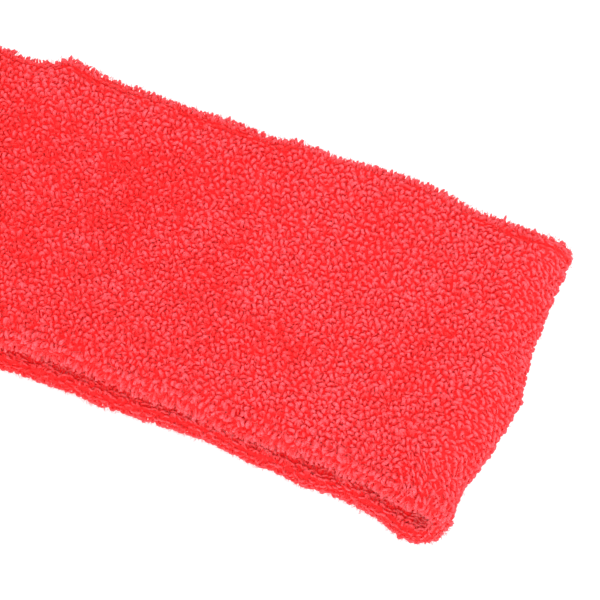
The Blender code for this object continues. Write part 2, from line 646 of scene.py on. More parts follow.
@dataclass
class Skin:
    """The ground cloth's whole face as a grid: s once round the loop, w once round the doubled panel's section.

    w starts at the seamed rim's edge, runs over the outside to the folded rim, and back over the inside.
    """

    band: LyingBand
    pile_depth: float = 1.1 * MM         # the pile's share of the panel's thickness, on each face
    run_steps: int = 112                 # along each panel
    turn_steps: int = 16                 # round each end fold
    face_steps: int = 38                 # across each face
    rim_steps: int = 10                  # round each rim
    swell_scale: float = 20.0            # the simulation runs this much larger, where cloth solves steadily
    swell_pressure: float = 0.3
    swell_frames: int = 8
    swell_cap: float = 0.5 * MM          # furthest that a point may move
    swell_quality: int = 6
    facing_margin: float = 3 * MM        # how far inside the folded rim the inner face starts to be held
    resting_height: float = 1.6 * MM     # cloth below this lies on the table
    crease_height: float = 0.5 * MM
    crease_pitch: float = 2.5 * MM
    crease_way: tuple[float, float] = (0.72, 0.69)

    def __post_init__(self) -> None:
        """Work out the grid's places and lay it."""
        size = self.band.sizes
        self.radius = size.panel / 2 - self.pile_depth
        self.face = size.width - 2 * self.pile_depth - 2 * self.radius
        self.quarter = math.pi * self.radius / 2
        self.fold_start = self.quarter + self.face
        self.fold_end = self.fold_start + 2 * self.quarter
        self.section_length = self.fold_end + self.face + self.quarter
        self.s_places = self._places_round_loop()
        self.w_places = self._places_round_section()
        self.s_marks = np.append(self.s_places, size.round_length)
        self.w_marks = np.append(self.w_places, self.section_length)
        s, w = np.meshgrid(self.s_places, self.w_places, indexing="ij")
        self.points = self._lay(s, w)
        self.points = self.points + self._swell_moves(w)
        self.normals = self._normals()

    def _places_round_loop(self) -> Array:
        """Return the grid's s values, closer together round the end folds."""
        size = self.band.sizes
        turn = math.pi * size.turn_radius
        marks = [0, size.fold_x, size.fold_x + turn, 3 * size.fold_x + turn, 3 * size.fold_x + 2 * turn]
        marks.append(size.round_length)
        steps = [self.run_steps // 2, self.turn_steps, self.run_steps, self.turn_steps, self.run_steps // 2]
        return stepped(marks, steps)

    def _places_round_section(self) -> Array:
        """Return the grid's w values, closer together round the rims."""
        marks = [0, self.quarter, self.fold_start, self.fold_end, self.fold_end + self.face, self.section_length]
        steps = [self.rim_steps // 2, self.face_steps, self.rim_steps, self.face_steps, self.rim_steps // 2]
        return stepped(marks, steps)

    def section(self, w: Array) -> tuple[Array, Array]:
        """Return y and depth of places round the section."""
        edge = self.face / 2
        seam_angle = math.pi / 2 - np.clip(w, 0, self.quarter) / self.radius
        back_angle = np.clip(w - self.fold_end - self.face, 0, self.quarter) / self.radius
        fold_angle = np.clip(w - self.fold_start, 0, 2 * self.quarter) / self.radius
        y = edge - np.clip(w - self.quarter, 0, self.face) + np.clip(w - self.fold_end, 0, self.face)
        depth = np.cos(fold_angle) * self.radius
        y = y - np.sin(fold_angle) * self.radius
        first, last = w < self.quarter, w > self.fold_end + self.face
        y = np.where(first, edge + np.sin(seam_angle) * self.radius, y)
        depth = np.where(first, np.cos(seam_angle) * self.radius, depth)
        y = np.where(last, edge + np.sin(back_angle) * self.radius, y)
        depth = np.where(last, -np.cos(back_angle) * self.radius, depth)
        return y, depth

    def _lay(self, s: Array, w: Array) -> Array:
        """Return the laid cloth's points, with the small shapes that stand on its face."""
        y, depth = self.section(w)
        x, _, angle = self.band.station(s)
        front = facing_front(angle)
        outside = (w < self.fold_end).astype(float)
        relief = 0.16 * MM * ripple(s, w, 13 * MM, 21) + 0.10 * MM * ripple(s, w, 6 * MM, 22)
        relief = relief - outside * self.seam_groove(x, w, front)
        relief = relief + outside * front * self._corner_creases(x, y)
        rim = smooth_step(0.0, self.radius, depth * np.where(w < self.fold_end, 1, -1))
        return self.band.point(s, y, depth + np.sign(depth) * relief * rim)

    def seam_groove(self, x: Array, w: Array, front: Array) -> Array:
        """Return the depth of the groove beside the seamed rim, which fades in and out along it."""
        line = self.band.groove_inset + 0.3 * MM * ripple(x, 30 * MM * front, 18 * MM, 31)
        strength = 0.25 + 0.45 * ripple(x, 30 * MM * front, 25 * MM, 32)
        strength = strength + 1.1 * swell(x, 5 * MM, 8 * MM) + 1.1 * swell(x, 82 * MM, 9 * MM)
        return self.band.seam_groove * np.clip(strength, 0.0, 1.5) * np.exp(-(((w - line) / (0.8 * MM)) ** 2))

    def _corner_creases(self, x: Array, y: Array) -> Array:
        """Return the height of the short creases that run beside the end fold at the folded rim's corner."""
        window = smooth_step(*CORNER_X, x) * smooth_step(14 * MM, 22 * MM, -y)
        run = self.crease_way[0] * x + self.crease_way[1] * y
        return self.crease_height * window * np.sin(2 * math.pi * run / self.crease_pitch)

    def _swell_moves(self, w: Array) -> Array:
        """Let the outer ply swell off the inner one, except where it is stitched or lies on something.

        Args:
            w: The grid's places round the section.

        Returns:
            How far each point of the grid moves, from a short cloth simulation whose object is then removed.
        """
        rows, columns = len(self.s_places), len(self.w_places)
        index = np.arange(rows * columns).reshape(rows, columns)
        ahead, beside = np.roll(index, -1, 0), np.roll(index, -1, 1)
        corner = np.roll(ahead, -1, 1)
        faces = np.stack([index, ahead, corner, beside], axis=-1).reshape(-1, 4)
        piece = mesh_object("swelling_cloth", self.points.reshape(-1, 3) * self.swell_scale, faces)
        held = piece.vertex_groups.new(name="held")
        stitched = w < self.band.groove_inset + MM
        pressed = (w > self.fold_end + self.facing_margin) | (self.points[..., 2] < self.resting_height)
        held.add(np.flatnonzero((stitched | pressed).ravel()).tolist(), 1.0, "REPLACE")
        cloth = piece.modifiers.new("cloth", "CLOTH")
        cloth.settings.quality = self.swell_quality
        cloth.settings.vertex_group_mass = held.name
        cloth.settings.use_pressure = True
        cloth.settings.uniform_pressure_force = self.swell_pressure
        cloth.settings.effector_weights.gravity = 0.0
        cloth.point_cache.frame_start = 1
        cloth.point_cache.frame_end = self.swell_frames
        scene = bpy.context.scene
        for frame in range(1, self.swell_frames + 1):
            scene.frame_set(frame)
        evaluated = piece.evaluated_get(bpy.context.evaluated_depsgraph_get())
        settled = evaluated.to_mesh()
        places = np.empty(rows * columns * 3)
        settled.vertices.foreach_get("co", places)
        moves = places.reshape(rows, columns, 3) / self.swell_scale - self.points
        evaluated.to_mesh_clear()
        bpy.data.objects.remove(piece, do_unlink=True)
        scene.frame_set(1)
        size = np.linalg.norm(moves, axis=-1, keepdims=True)
        log.info("cloth moved %.3f mm on average, %.3f mm at most", size.mean() / MM, size.max() / MM)
        return moves * np.minimum(1.0, self.swell_cap / np.maximum(size, 1e-9))

    def _normals(self) -> Array:
        """Return the grid's outward normals."""
        along = np.roll(self.points, -1, 0) - np.roll(self.points, 1, 0)
        across = np.roll(self.points, -1, 1) - np.roll(self.points, 1, 1)
        return unit(np.cross(along, across))

    def sample(self, s: Array, w: Array) -> tuple[Array, Array, Array]:
        """Read the laid cloth between the grid's points.

        Args:
            s: Places round the loop.
            w: Places round the section.

        Returns:
            The points, the outward normals and the directions along the loop.
        """
        rows, columns = len(self.s_places), len(self.w_places)
        i = np.interp(np.mod(s, self.s_marks[-1]), self.s_marks, np.arange(rows + 1))
        j = np.interp(np.mod(w, self.w_marks[-1]), self.w_marks, np.arange(columns + 1))
        i0, j0 = np.floor(i).astype(int), np.floor(j).astype(int)
        a, b = (i - i0)[:, None], (j - j0)[:, None]
        i0, i1, j0, j1 = i0 % rows, (i0 + 1) % rows, j0 % columns, (j0 + 1) % columns

        def blend(grid: Array) -> Array:
            """Blend a grid's four nearest values."""
            low = grid[i0, j0] * (1 - b) + grid[i0, j1] * b
            high = grid[i1, j0] * (1 - b) + grid[i1, j1] * b
            return low * (1 - a) + high * a

        along = unit(self.points[i1, j0] - self.points[i0, j0])
        return blend(self.points), unit(blend(self.normals)), along


# ---------------------------------------------------------------------------------------------- ground cloth


@dataclass
class GroundPly:
    """One ply of knitted ground: a sheet cut as a strip, closed into a loop and laid on the skin."""

    name: str
    finish: GroundFinish
    skin: Skin
    first: int
    last: int
    thickness: float = 0.5 * MM

    def build(self) -> bpy.types.Object:
        """Make the ply's sheet and give it its thickness.

        Returns:
            The finished piece.
        """
        rows = len(self.skin.s_places)
        columns = np.arange(self.first, self.last + 1) % len(self.skin.w_places)
        points = self.skin.points[:, columns].reshape(-1, 3)
        count = len(columns)
        i, j = np.meshgrid(np.arange(rows), np.arange(count - 1), indexing="ij")
        i, j = i.ravel(), j.ravel()
        after = (i + 1) % rows
        faces = np.stack([i * count + j, after * count + j, after * count + j + 1, i * count + j + 1], axis=1)
        piece = mesh_object(self.name, points, faces)
        self._map(piece, i, j)
        self._thicken(piece)
        piece.data.materials.append(self.finish.material())
        return piece

    def _map(self, piece: bpy.types.Object, i: Array, j: Array) -> None:
        """Give the sheet its flat map in metres: along the strip, and across it."""
        s_marks, w_marks = self.skin.s_marks, self.skin.w_marks
        low, high = s_marks[i], s_marks[i + 1]
        near, far = w_marks[self.first + j], w_marks[self.first + j + 1]
        corners = [(low, near), (high, near), (high, far), (low, far)]
        corner_map(piece, "cloth", np.stack([np.stack(corner, -1) for corner in corners], axis=1))

    def _thicken(self, piece: bpy.types.Object) -> None:
        """Give the sheet its thickness, inwards."""
        pick(piece)
        solidify = piece.modifiers.new("thickness", "SOLIDIFY")
        solidify.thickness = self.thickness
        solidify.offset = -1.0
        bpy.ops.object.modifier_apply(modifier=solidify.name)

    def cut_size(self) -> tuple[float, float]:
        """Return the strip's width and length as cut."""
        w_marks = self.skin.w_marks
        return float(w_marks[self.last] - w_marks[self.first]), self.skin.band.sizes.round_length


# ---------------------------------------------------------------------------------------------- pile


@dataclass(frozen=True)
class LoopShape:
    """One pile loop as drawn: an arch of yarn whose two sides swing apart."""

    foot_gap: float
    height: float
    swing_out: float
    swing_back: float
    shift: float


@dataclass(frozen=True)
class LoopMesh:
    """A loop's mesh as arrays, with each point's share of the height and each corner's place along the yarn."""

    points: Array
    faces: Array
    reach: Array
    yarn: Array


class LoopMaker:
    """Models the pile's loops once each, as Bezier curves with the yarn's thickness."""

    SHAPES = (
        LoopShape(0.52 * MM, 0.88 * MM, 0.20 * MM, -0.16 * MM, 0.08 * MM),
        LoopShape(0.42 * MM, 0.95 * MM, -0.20 * MM, 0.20 * MM, -0.08 * MM),
        LoopShape(0.70 * MM, 0.82 * MM, 0.30 * MM, 0.20 * MM, 0.10 * MM),
        LoopShape(0.48 * MM, 1.00 * MM, 0.08 * MM, -0.28 * MM, 0.00 * MM),
        LoopShape(0.60 * MM, 0.90 * MM, -0.20 * MM, -0.28 * MM, 0.12 * MM),
        LoopShape(0.78 * MM, 0.80 * MM, -0.30 * MM, 0.28 * MM, -0.06 * MM),
        LoopShape(0.40 * MM, 0.92 * MM, 0.34 * MM, 0.16 * MM, -0.12 * MM),
        LoopShape(0.56 * MM, 0.86 * MM, 0.16 * MM, 0.30 * MM, 0.04 * MM),
    )
    FOOT_DEPTH = 0.15 * MM

    def __init__(self, yarn_radius: float, detail: Detail) -> None:
        """Model every shape at one fineness."""
        self.yarn_radius = yarn_radius
        self.segments, self.sides = detail.value
        self.loops = [self._model(shape) for shape in self.SHAPES]

    def _model(self, shape: LoopShape) -> LoopMesh:
        """Draw one loop and return its mesh, with the drawing removed."""
        deselect_all()
        bpy.ops.curve.primitive_bezier_curve_add(radius=1.0, location=(0.0, 0.0, 0.0))
        drawn = bpy.context.active_object
        curve = drawn.data
        curve.dimensions = "3D"
        curve.resolution_u = self.segments
        curve.bevel_depth = self.yarn_radius
        curve.bevel_resolution = self.sides // 2 - 2
        start, end = curve.splines[0].bezier_points
        half = shape.foot_gap / 2
        rise = shape.height / 0.75
        for point in (start, end):
            point.handle_left_type = "FREE"
            point.handle_right_type = "FREE"
        start.co = (-half, 0.0, -self.FOOT_DEPTH)
        start.handle_left = (-half, 0.0, -2 * self.FOOT_DEPTH)
        start.handle_right = (-half * 1.5 + shape.shift, shape.swing_out, rise)
        end.co = (half, 0.0, -self.FOOT_DEPTH)
        end.handle_left = (half * 1.5 + shape.shift, shape.swing_back, rise)
        end.handle_right = (half, 0.0, -2 * self.FOOT_DEPTH)
        bpy.ops.object.convert(target="MESH")
        bpy.ops.object.mode_set(mode="EDIT")
        bpy.ops.mesh.select_all(action="SELECT")
        bpy.ops.mesh.fill_holes(sides=self.sides)
        bpy.ops.mesh.select_all(action="SELECT")
        bpy.ops.mesh.normals_make_consistent(inside=False)
        bpy.ops.object.mode_set(mode="OBJECT")
        modelled = bpy.context.active_object
        loop = self._read(modelled, shape)
        bpy.data.objects.remove(modelled, do_unlink=True)
        return loop

    @staticmethod
    def _quads(corners: Sequence[int]) -> list[tuple[int, ...]]:
        """Return a face with an even number of corners as four-cornered faces."""
        return [(corners[0], *corners[k:k + 3]) for k in range(1, len(corners) - 2, 2)]

    def _read(self, modelled: bpy.types.Object, shape: LoopShape) -> LoopMesh:
        """Return a modelled loop's arrays."""
        mesh = modelled.data
        points = np.array([vertex.co[:] for vertex in mesh.vertices])
        faces = np.array([quad for polygon in mesh.polygons for quad in self._quads(polygon.vertices[:])])
        rings = len(points) // self.sides
        order = np.arange(len(points))
        along = (order // self.sides) / (rings - 1)
        around = (order % self.sides) / self.sides
        reach = np.clip(points[:, 2] / shape.height, 0, 1)
        corner_along, corner_around = along[faces], around[faces]
        wraps = (corner_around.max(1) - corner_around.min(1)) > 0.5
        corner_around[wraps] = np.where(corner_around[wraps] < 0.5, corner_around[wraps] + 1, corner_around[wraps])
        return LoopMesh(points, faces, reach, np.stack([corner_along, corner_around], axis=-1))


@dataclass
class Stand:
    """Where each loop of a stretch of pile stands and how."""

    s: Array
    w: Array
    yaw: Array
    lean: Array
    lean_way: Array
    size: Array
    tall: Array
    tint: Array
    stretch: Array

    def part(self, chosen: Array) -> "Stand":
        """Return only the chosen loops."""
        return Stand(*[getattr(self, name.name)[chosen] for name in fields(self)])


@dataclass(frozen=True)
class Combing:
    """How the pile's posture changes where it is combed, hemmed, tucked or frayed, and where painted light and shade
    are put on its tone. Shares are of the loops.
    """

    fold_share: float = 0.85             # that run round an end fold
    fold_yaw: float = -0.5
    fold_sunk: float = 0.30
    fold_upright: float = 0.5
    fold_stretch: float = 0.22
    corner_share: float = 0.95           # that run along the creased corner
    corner_yaw: float = -0.85
    corner_stretch: float = 1.35
    # painted light: the pile's tone is raised towards the band's right end and near the seamed rim
    right_paler: float = 0.42
    seam_paler: float = 0.34
    hem_share: float = 0.8               # that hang over the front panel's hem
    hem_lean: float = 14.0
    hem_taller: float = 0.35
    # painted highlight on the loops over the front panel's hem
    hem_paler: float = 0.30
    laid_tall: float = 0.78              # of the back panel's hem, which lies along the rim
    laid_stretch: float = 1.3
    groove_laid: float = 0.35            # depth of groove from which the pile lies along it
    groove_yaw: float = 0.15
    groove_sunk: float = 0.7
    # painted shade in the seam's groove
    groove_darker: float = 1.1
    tuft_spacing: float = 3.0 * MM
    tuft_size: float = 0.68
    # painted highlight on the rim's tufts
    tuft_paler: float = 0.2


COMBING = Combing()


@dataclass
class PileZone:
    """A stretch of the section and how its pile stands.

    A loop's yaw is the way its arch runs, and lean_way the way it leans: 0 along the band, a quarter turn across it
    towards higher w.
    """

    name: str
    start: float
    end: float
    detail: Detail
    seed: int
    wale_pitch: float = 1.18 * MM
    course_pitch: float = 0.94 * MM
    jitter: float = 0.24
    flow: float = 7 * MM                 # over how long a way neighbouring loops run the same way
    stray: float = 0.40                  # how far a loop strays from its neighbours, in radians
    lean_low: float = 8.0
    lean_high: float = 42.0
    size: float = 1.0
    tall: float = 1.0
    crown: float = 1.0                   # how strong the painted highlight on the loops' crowns is
    tint: float = 0.34
    tint_spread: float = 0.24
    loop_span: float = 0.70 * MM         # between the two ends by which loops push each other apart
    room: float = 0.86 * MM              # how far apart the ends of neighbours settle
    pushes: int = 12
    stretch: float = 1.0                 # how far the arches are drawn out along themselves
    comb: float = 0.0                    # share of the loops that run along the band
    fringe: float = 0.0                  # how much longer the tufts of a ragged rim are
    front_only: Optional[bool] = None    # True for the front panel and folds, False for the back panel

    def stand(self, skin: Skin) -> Stand:
        """Place the zone's loops in jittered courses.

        Args:
            skin: The laid cloth, for which panel and rim a loop is near.

        Returns:
            The loops' places and postures.
        """
        rng = np.random.default_rng(self.seed)
        length = skin.band.sizes.round_length
        wales = max(int(length / self.wale_pitch), 3)
        courses = max(int(round((self.end - self.start) / self.course_pitch)), 1)
        i, j = np.meshgrid(np.arange(wales), np.arange(courses), indexing="ij")
        shape = i.shape
        s = (i + 0.5 * (j % 2) + rng.uniform(-self.jitter, self.jitter, shape)) * length / wales
        w = self.start + (j + 0.5 + rng.uniform(-self.jitter, self.jitter, shape)) * (self.end - self.start) / courses
        yaw = 2.2 * ripple(s, w, self.flow, self.seed + 200) + rng.normal(0, self.stray, shape)
        yaw = np.where(rng.uniform(0, 1, shape) < self.comb, rng.normal(0, 0.2, shape), yaw)
        s, w, yaw = [grid.ravel() for grid in self._push_apart(s, w, yaw, length)]
        count = len(s)
        lean = np.radians(rng.uniform(self.lean_low, self.lean_high, count))
        lean_way = rng.uniform(0, 2 * math.pi, count)
        size = self.size * np.clip(rng.normal(1.0, 0.09, count), 0.78, 1.25)
        tall = self.tall * np.clip(rng.normal(1.0, 0.10, count), 0.75, 1.3)
        tint = rng.normal(self.tint, self.tint_spread, count) + 0.09 * ripple(s, w, 11 * MM, self.seed + 400)
        loops = Stand(s, w, yaw, lean, lean_way, size, tall, tint, np.full(count, self.stretch))
        self._comb_end_folds(loops, skin, rng)
        self._comb_hem(loops, skin, rng)
        self._tuck_groove(loops, skin)
        if self.fringe:
            self._pull_fringe(loops, rng)
        loops.tint = np.clip(loops.tint, -0.6, 1)
        if self.front_only is None:
            return loops
        return loops.part((self._front(loops, skin) > 0.12) == self.front_only)

    def _push_apart(self, s: Array, w: Array, yaw: Array, length: float) -> tuple[Array, Array, Array]:
        """Let neighbouring loops push each other apart by their two ends, as packed yarn does.

        Args:
            s: Places round the loop, by wale and course.
            w: Places round the section.
            yaw: The ways that the arches run.
            length: Length once round the loop.

        Returns:
            The new places and ways.
        """
        arm = self.loop_span / 2
        near = [(di, dj) for di in (-1, 0, 1) for dj in (-2, -1, 0, 1, 2) if (di, dj) != (0, 0)]
        course = np.arange(s.shape[1])
        for _ in range(self.pushes):
            ends = [(s + sign * arm * np.cos(yaw), w + sign * arm * np.sin(yaw), sign) for sign in (-1, 1)]
            move_s, move_w, twist = np.zeros(s.shape), np.zeros(s.shape), np.zeros(s.shape)
            for di, dj in near:
                inside = ((course + dj >= 0) & (course + dj < s.shape[1]))[None, :]
                for end_s, end_w, sign in ends:
                    for other_s, other_w, _ in ends:
                        ds = end_s - np.roll(other_s, (-di, -dj), (0, 1))
                        ds = ds - length * np.round(ds / length)
                        dw = end_w - np.roll(other_w, (-di, -dj), (0, 1))
                        gap = np.maximum(np.hypot(ds, dw), 1e-6)
                        force = np.where(inside & (gap < self.room), 0.16 * (self.room - gap) / gap, 0.0)
                        move_s, move_w = move_s + force * ds, move_w + force * dw
                        twist = twist + force * sign * arm * (np.cos(yaw) * dw - np.sin(yaw) * ds)
            s, w = s + move_s, np.clip(w + move_w, self.start, self.end)
            yaw = yaw + twist / (2 * arm * arm)
        return s, w, yaw

    @staticmethod
    def _front(loops: Stand, skin: Skin) -> Array:
        """Return 1 for loops on the front panel, 0 on the back panel, and between them round the folds."""
        return facing_front(skin.band.station(loops.s)[2])

    def _comb_end_folds(self, loops: Stand, skin: Skin, rng: np.random.Generator) -> None:
        """Let the pile run round the end folds, and along them in the creased corner, with painted light towards the
        right end and the seamed rim.
        """
        x, _, _ = skin.band.station(loops.s)
        y, _ = skin.section(loops.w)
        share = rng.uniform(0, 1, len(x))
        at_fold = smooth_step(83 * MM, 89 * MM, np.abs(x))
        round_fold = share < COMBING.fold_share * at_fold
        loops.yaw = np.where(round_fold, rng.normal(COMBING.fold_yaw, 0.2, len(x)), loops.yaw)
        loops.tall = loops.tall * (1 - COMBING.fold_sunk * at_fold)
        loops.lean = loops.lean * (1 - COMBING.fold_upright * at_fold)
        loops.stretch = loops.stretch * (1 + COMBING.fold_stretch * at_fold)
        corner = smooth_step(*CORNER_X, x) * smooth_step(15 * MM, 20 * MM, -y) * self._front(loops, skin)
        along_fold = share < COMBING.corner_share * corner
        loops.yaw = np.where(along_fold, rng.normal(COMBING.corner_yaw, 0.15, len(x)), loops.yaw)
        loops.stretch = np.where(along_fold, COMBING.corner_stretch, loops.stretch)
        # painted light: paler towards the right end and near the seamed rim
        loops.tint = loops.tint + COMBING.right_paler * smooth_step(5 * MM, 80 * MM, x)
        loops.tint = loops.tint + COMBING.seam_paler * (1 - smooth_step(2 * MM, 15 * MM, loops.w))

    def _comb_hem(self, loops: Stand, skin: Skin, rng: np.random.Generator) -> None:
        """Let the pile beside the folded rim grow longer and hang over it, paler with a painted highlight."""
        reach = smooth_step(skin.fold_start - 3.2 * MM, skin.fold_start + 0.2 * MM, loops.w)
        reach = reach * (loops.w < skin.fold_end)
        hem = reach * self._front(loops, skin)
        laid = reach * (1 - self._front(loops, skin)) > 0.5
        count = len(hem)
        loops.yaw = np.where(laid, rng.normal(0, 0.2, count), loops.yaw)
        loops.tall = np.where(laid, loops.tall * COMBING.laid_tall, loops.tall)
        loops.stretch = np.where(laid, COMBING.laid_stretch, loops.stretch)
        combed = rng.uniform(0, 1, count) < COMBING.hem_share * hem
        loops.yaw = np.where(combed, rng.normal(math.pi / 2, 0.35, count), loops.yaw)
        loops.lean_way = np.where(combed, rng.normal(math.pi / 2, 0.4, count), loops.lean_way)
        loops.lean = loops.lean + np.radians(COMBING.hem_lean) * hem
        loops.tall = loops.tall * (1 + COMBING.hem_taller * hem)
        # painted highlight on the hem's loops
        loops.tint = loops.tint + COMBING.hem_paler * hem

    def _tuck_groove(self, loops: Stand, skin: Skin) -> None:
        """Let the pile sink along the seam's groove and darken there with painted shade."""
        x, _, _ = skin.band.station(loops.s)
        depth = skin.seam_groove(x, loops.w, self._front(loops, skin)) / skin.band.seam_groove
        laid = depth > COMBING.groove_laid
        loops.yaw = np.where(laid, loops.yaw * COMBING.groove_yaw, loops.yaw)
        loops.stretch = np.where(laid, loops.stretch * COMBING.laid_stretch, loops.stretch)
        loops.tall = loops.tall * (1 - COMBING.groove_sunk * np.clip(depth, 0, 1))
        # painted shade: darker where the groove is deep
        loops.tint = loops.tint - COMBING.groove_darker * depth

    def _pull_fringe(self, loops: Stand, rng: np.random.Generator) -> None:
        """Pull the loops of a ragged rim out into uneven tufts, paler with a painted highlight."""
        count = len(loops.s)
        tuft = smooth_step(-0.6, 0.8, ripple(loops.s, loops.w * 0, COMBING.tuft_spacing, self.seed + 300))
        loops.tall = loops.tall * (1 + self.fringe * (0.3 + 0.7 * tuft) * rng.uniform(0.75, 1.05, count))
        loops.size = loops.size * COMBING.tuft_size
        # painted highlight on the tufts
        loops.tint = loops.tint + COMBING.tuft_paler * tuft


@dataclass
class Pile:
    """The looped pile of one zone, as pieces of a few thousand loops each."""

    zone: PileZone
    skin: Skin
    finish: bpy.types.Material
    maker: LoopMaker
    loops_in_piece: int = 2800
    bake_patch: tuple[float, float] = (0.8 * MM, 0.6 * MM)  # a loop's place on the flat map for baking

    def build(self) -> list[bpy.types.Object]:
        """Make the zone's pieces, in order round the loop."""
        stand = self.zone.stand(self.skin)
        order = np.argsort(stand.s, kind="stable")
        count = max(1, math.ceil(len(order) / self.loops_in_piece))
        groups = enumerate(np.array_split(order, count), 1)
        return [self._piece(f"{self.zone.name}_{number:02d}", stand.part(chosen)) for number, chosen in groups]

    def _frames(self, stand: Stand) -> tuple[Array, Array]:
        """Return each loop's foot and the three directions that its mesh is drawn along."""
        foot, normal, along = self.skin.sample(stand.s, stand.w)
        across = unit(np.cross(normal, along))
        along = np.cross(across, normal)
        up = unit(turned(normal, turned(along, across, stand.lean_way), stand.lean))
        side = squared_to(unit(turned(along, across, stand.yaw)), up)
        axes = np.stack([side * (stand.size * stand.stretch)[:, None],
                         np.cross(up, side) * (stand.size / stand.stretch)[:, None],
                         up * (stand.size * stand.tall)[:, None]], axis=-1)
        return foot, axes

    def _piece(self, name: str, stand: Stand) -> bpy.types.Object:
        """Copy the modelled loops to their places and join them into one piece."""
        foot, axes = self._frames(stand)
        kinds = len(self.maker.loops)
        points, faces, reach, tint, yarn, places = [], [], [], [], [], []
        start = 0
        s_low, s_span = stand.s.min(), max(stand.s.max() - stand.s.min(), MM)
        w_low, w_span = self.zone.start - MM, self.zone.end - self.zone.start + 2 * MM
        for kind, loop in enumerate(self.maker.loops):
            mine = np.arange(kind, len(stand.s), kinds)
            if not len(mine):
                continue
            placed = foot[mine, None, :] + np.einsum("nij,kj->nki", axes[mine], loop.points)
            count, each = placed.shape[:2]
            points.append(placed.reshape(-1, 3))
            faces.append(copied_faces(loop.faces, count, each, start))
            reach.append(np.tile(loop.reach * self.zone.crown, count))
            tint.append(np.repeat(stand.tint[mine], each))
            yarn.append(np.tile(loop.yarn.reshape(-1, 2), (count, 1)))
            patch = loop.yarn * np.array(self.bake_patch)
            origin = np.stack([stand.s[mine] - s_low, stand.w[mine] - w_low], axis=-1)
            flat = origin[:, None, None, :] + patch[None]
            places.append((flat / np.array([s_span + 2 * MM, w_span])).reshape(-1, 2))
            start += count * each
        all_points = np.concatenate(points)
        all_points[:, 2] = np.maximum(all_points[:, 2], FLOOR_GAP)
        piece = mesh_object(name, all_points, np.concatenate(faces))
        point_value(piece, "tint", np.concatenate(tint))
        point_value(piece, "reach", np.concatenate(reach))
        corner_map(piece, "yarn", np.concatenate(yarn))
        corner_map(piece, "OFBake", np.clip(np.concatenate(places), 0, 1))
        piece.data.materials.append(self.finish)
        return piece


# ---------------------------------------------------------------------------------------------- fuzz


@dataclass
class Fuzz:
    """Loose fibre ends that stand out of the pile and soften its outline."""

    skin: Skin
    finish: bpy.types.Material
    face_count: int = 6500
    rim_count: int = 7000
    root_radius: float = 0.038 * MM
    length: float = 1.1 * MM
    bend: float = 0.22 * MM
    root_height: float = 0.55 * MM
    seed: int = 301

    def build(self) -> list[bpy.types.Object]:
        """Make the fuzz of the outer face and of both rims.

        Returns:
            The finished pieces.
        """
        skin, rng = self.skin, np.random.default_rng(self.seed)
        fibre_points, fibre_faces = self._model_fibre()
        rims = [(-skin.quarter, skin.quarter), (skin.fold_start - MM, skin.fold_end + MM)]
        stretches = [("outer_face_fuzz", skin.quarter, skin.fold_start, self.face_count)]
        stretches += [(f"{name}_rim_fuzz", *rim, self.rim_count) for name, rim in zip(("seamed", "folded"), rims)]
        pieces = []
        for name, start, end, count in stretches:
            s = rng.uniform(0, skin.band.sizes.round_length, count)
            w = rng.uniform(start, end, count)
            x, _, angle = skin.band.station(s)
            keep = (facing_front(angle) > 0.1) | (name != "outer_face_fuzz")
            pieces.append(self._piece(name, s[keep], w[keep], fibre_points, fibre_faces, rng))
        return pieces

    def _model_fibre(self) -> tuple[Array, Array]:
        """Model one bent, tapering fibre from a three-sided cone and return its points and faces."""
        deselect_all()
        bpy.ops.mesh.primitive_cone_add(vertices=3, radius1=1.0, radius2=0.0, depth=1.0, end_fill_type="NGON",
                                        location=(0.0, 0.0, 0.5))
        modelled = bpy.context.active_object
        bpy.ops.object.transform_apply(location=True)
        bpy.ops.object.mode_set(mode="EDIT")
        bpy.ops.mesh.select_all(action="SELECT")
        bpy.ops.mesh.bisect(plane_co=(0.0, 0.0, 0.45), plane_no=(0.0, 0.0, 1.0))
        bpy.ops.mesh.select_all(action="SELECT")
        bpy.ops.mesh.quads_convert_to_tris()
        bpy.ops.object.mode_set(mode="OBJECT")
        mesh = modelled.data
        points = np.array([vertex.co[:] for vertex in mesh.vertices])
        faces = np.array([polygon.vertices[:] for polygon in mesh.polygons])
        bpy.data.objects.remove(modelled, do_unlink=True)
        return points, faces

    def _piece(self, name: str, s: Array, w: Array, fibre: Array, faces: Array,
               rng: np.random.Generator) -> bpy.types.Object:
        """Copy the modelled fibre to its places and join the copies into one piece."""
        count, each = len(s), len(fibre)
        foot, normal, along = self.skin.sample(s, w)
        across = unit(np.cross(normal, along))
        lean, way = rng.uniform(0.1, 1.1, count), rng.uniform(0, 2 * math.pi, count)
        flat = turned(along, across, way)
        up = unit(turned(normal, flat, lean))
        side = squared_to(flat, up)
        third = np.cross(up, side)
        length = self.length * rng.uniform(0.6, 1.5, count)
        bend = self.bend * rng.normal(0, 1, count)
        height = fibre[:, 2]
        reach = height[None] * length[:, None]
        sway = fibre[:, 0][None] * self.root_radius + (height**2)[None] * bend[:, None]
        width = np.broadcast_to(fibre[:, 1] * self.root_radius, reach.shape)
        points = foot + normal * self.root_height
        points = points[:, None] + reach[..., None] * up[:, None] + sway[..., None] * side[:, None]
        points = (points + width[..., None] * third[:, None]).reshape(-1, 3)
        points[:, 2] = np.maximum(points[:, 2], FLOOR_GAP)
        piece = mesh_object(name, points, copied_faces(faces, count, each))
        point_value(piece, "tint", np.repeat(rng.uniform(0.2, 1.0, count), each))
        piece.data.materials.append(self.finish)
        return piece


# ---------------------------------------------------------------------------------------------- threads


